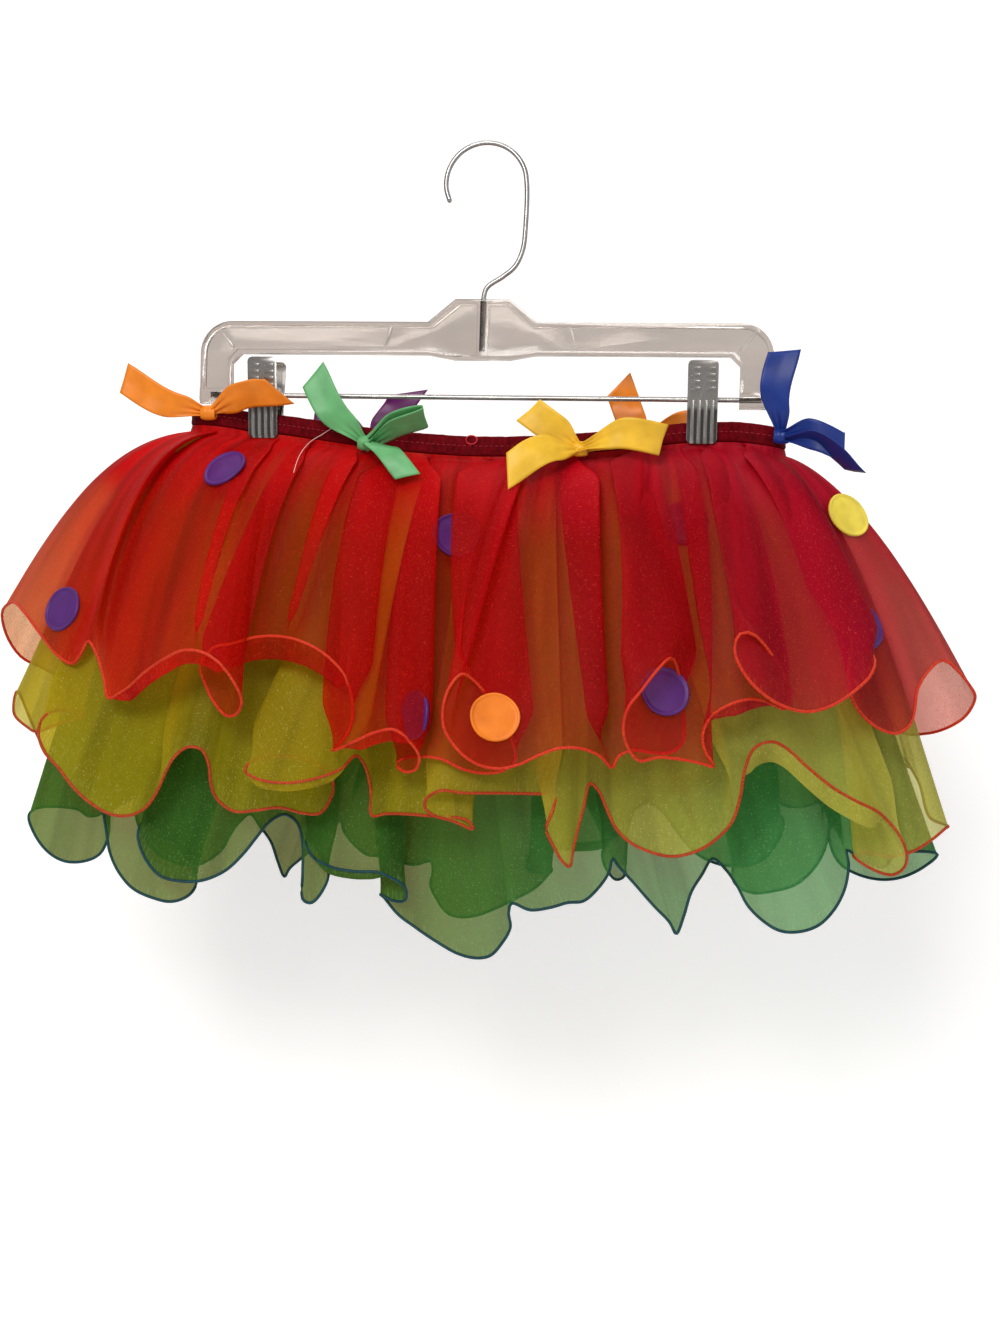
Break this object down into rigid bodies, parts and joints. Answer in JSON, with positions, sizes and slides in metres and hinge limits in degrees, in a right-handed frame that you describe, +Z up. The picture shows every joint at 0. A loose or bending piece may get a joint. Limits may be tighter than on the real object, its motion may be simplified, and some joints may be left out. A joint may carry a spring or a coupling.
{
  "type": "tutu skirt on a clip hanger",
  "caption": "Layered organza tutu skirt in red, yellow and green with satin ribbon bows and satin dots, held by two clips of a clear skirt hanger.",
  "frame": {"origin": "inside top of the hook, where a rail carries the hanger", "axes": "+X to the right as the skirt's front is seen, +Y from the front to the back, +Z up"},
  "size_m": [0.6036, 0.2323, 0.4877],
  "materials": {
    "waistband": "dark red satin-faced elastic casing",
    "red_organza": "sheer crisp organza with a fine sparkle",
    "yellow_organza": "sheer crisp organza with a fine sparkle",
    "green_organza": "sheer crisp organza with a fine sparkle",
    "purple_satin": "satin",
    "orange_satin": "satin",
    "yellow_satin": "satin",
    "orange_ribbon": "satin ribbon",
    "green_ribbon": "satin ribbon",
    "yellow_ribbon": "satin ribbon",
    "blue_ribbon": "satin ribbon",
    "purple_ribbon": "satin ribbon",
    "clear_plastic": "clear moulded plastic",
    "plated_wire": "plated wire",
    "plated_clip": "nickel-plated pressed steel"
  },
  "bodies": {
    "root": {"waistband": "waistband", "red_layer_front": "red_organza", "red_layer_back": "red_organza", "yellow_layer_front": "yellow_organza", "yellow_layer_back": "yellow_organza", "green_layer_front": "green_organza", "green_layer_back": "green_organza", "dot_left_side": "purple_satin", "dot_left_top": "purple_satin", "dot_middle_low": "purple_satin", "dot_middle_top": "purple_satin", "dot_middle_orange": "orange_satin", "dot_under_red": "purple_satin", "dot_right_low": "purple_satin", "dot_right_side": "purple_satin", "dot_right_yellow": "yellow_satin", "dot_back_1": "purple_satin", "dot_back_2": "orange_satin", "dot_back_3": "yellow_satin", "dot_back_4": "purple_satin", "dot_back_5": "purple_satin", "dot_back_6": "yellow_satin", "bow_orange": "orange_ribbon", "bow_green": "green_ribbon", "bow_yellow": "yellow_ribbon", "bow_blue": "blue_ribbon", "bow_orange_back": "orange_ribbon", "bow_purple_back": "purple_ribbon", "hanger_body": "clear_plastic", "hanger_hook": "plated_wire", "hanger_rod": "plated_wire", "clip_left_front": "plated_clip", "clip_left_back": "plated_clip", "clip_left_spring": "plated_clip", "clip_right_front": "plated_clip", "clip_right_back": "plated_clip", "clip_right_spring": "plated_clip"}
  },
  "joints": []
}
